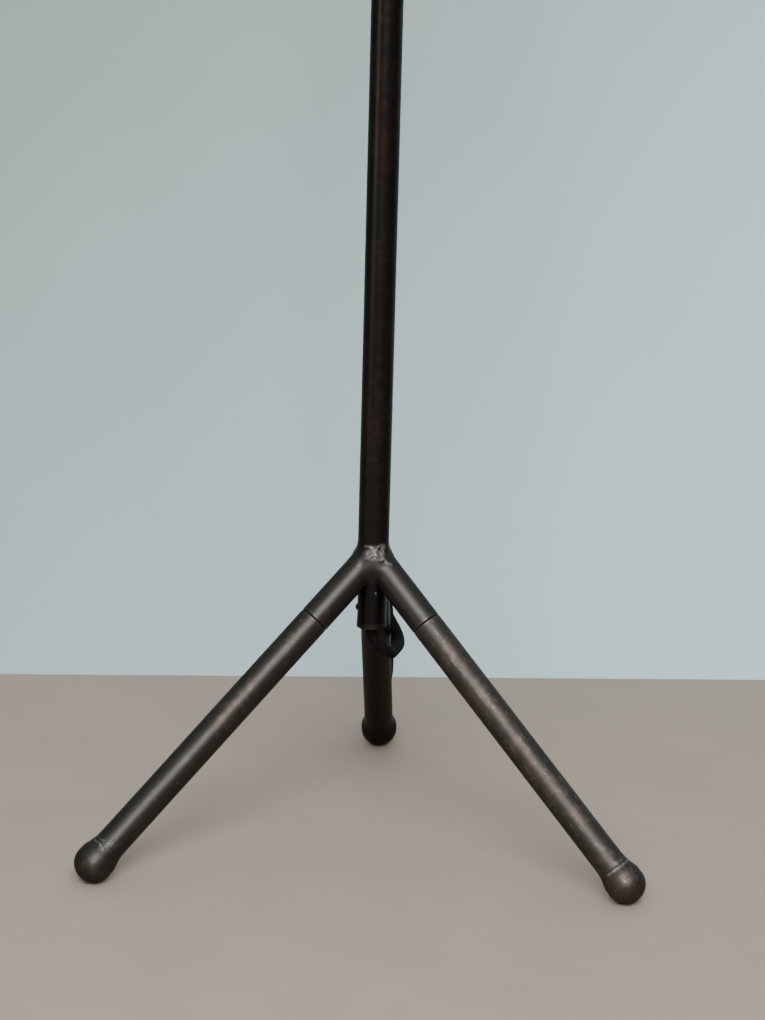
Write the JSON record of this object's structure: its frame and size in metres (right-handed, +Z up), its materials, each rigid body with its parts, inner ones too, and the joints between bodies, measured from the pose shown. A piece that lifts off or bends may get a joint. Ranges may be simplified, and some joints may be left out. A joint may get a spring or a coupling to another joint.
{
  "type": "tripod lamp stand",
  "caption": "Table lamp base: a steel tube pole brazed to a tripod of angled screw-on tube legs with ball feet, a cord collar under the hub, a screw lampholder on top and a mains flex.",
  "frame": {"origin": "on the table, under the pole's axis", "axes": "+Z up along the pole, +Y towards the rear leg and the cord, +X to the right seen from the front"},
  "size_m": [0.3412, 0.5596, 0.656],
  "materials": {
    "dark_steel": "dark waxed patina, satin",
    "stub_steel": "dark patina rubbed brighter",
    "leg_steel": "dark reddish-brown patina, satin",
    "ball_steel": "dark patina, satin",
    "braze": "rough as-brazed bead",
    "collar_steel": "satin black",
    "plated_steel": "bright zinc plated",
    "brass": "turned",
    "black_plastic": "moulded, low gloss",
    "white_insulator": "moulded",
    "nylon": "moulded",
    "flex_fabric": "woven textile sheath",
    "core_rubber": "insulated cores",
    "fuse_ceramic": "ceramic tube"
  },
  "bodies": {
    "stand": {"pole": "dark_steel", "stub_left": "stub_steel", "stub_right": "stub_steel", "stub_rear": "stub_steel", "hub_braze": "braze", "stub_insert_left": "plated_steel", "stub_insert_right": "plated_steel", "stub_insert_rear": "plated_steel", "collar_spigot": "plated_steel", "cord_collar": "collar_steel", "collar_lip": "collar_steel", "cord_grip": "nylon", "collar_screws": "plated_steel", "flex_in_pole": "flex_fabric", "flex_cores": "core_rubber", "pole_bush": "plated_steel", "seating_cap": "dark_steel", "nipple": "brass", "lock_nut": "brass", "holder_cup": "black_plastic", "holder_core": "white_insulator", "holder_skirt": "black_plastic", "screw_shell": "brass", "centre_contact": "brass", "terminals": "brass", "terminal_screws": "plated_steel", "cord": "flex_fabric", "cord_coil": "flex_fabric", "cord_tail": "flex_fabric", "cord_tie": "flex_fabric", "plug_cover": "black_plastic", "plug_base": "black_plastic", "earth_pin": "brass", "line_pin": "brass", "neutral_pin": "brass", "plug_fuse": "fuse_ceramic", "plug_cord_grip": "nylon", "plug_grip_screws": "plated_steel", "plug_cover_screw": "plated_steel"},
    "leg_left": {"leg_left": "leg_steel", "leg_stud_left": "plated_steel", "foot_ball_left": "ball_steel", "foot_braze_left": "braze"},
    "leg_right": {"leg_right": "leg_steel", "leg_stud_right": "plated_steel", "foot_ball_right": "ball_steel", "foot_braze_right": "braze"},
    "leg_rear": {"leg_rear": "leg_steel", "leg_stud_rear": "plated_steel", "foot_ball_rear": "ball_steel", "foot_braze_rear": "braze"},
    "shade_ring": {"shade_ring": "black_plastic"},
    "switch_bar": {"switch_bar": "black_plastic"}
  },
  "joints": [
    {"name": "leg_left_thread", "type": "hinge", "parent": "stand", "child": "leg_left", "pos_m": [0, 0, 0.184], "axis": [-0.6313, -0.3645, -0.6845], "continuous": true},
    {"name": "leg_right_thread", "type": "hinge", "parent": "stand", "child": "leg_right", "pos_m": [0, 0, 0.184], "axis": [0.6313, -0.3645, -0.6845], "continuous": true},
    {"name": "leg_rear_thread", "type": "hinge", "parent": "stand", "child": "leg_rear", "pos_m": [0, 0, 0.184], "axis": [0, 0.729, -0.6845], "continuous": true},
    {"name": "shade_ring_thread", "type": "hinge", "parent": "stand", "child": "shade_ring", "pos_m": [0, 0, 0.63], "axis": [0, 0, 1], "continuous": true},
    {"name": "switch_push", "type": "slide", "parent": "stand", "child": "switch_bar", "axis": [1, 0, 0], "range_m": [-0.005, 0]}
  ]
}
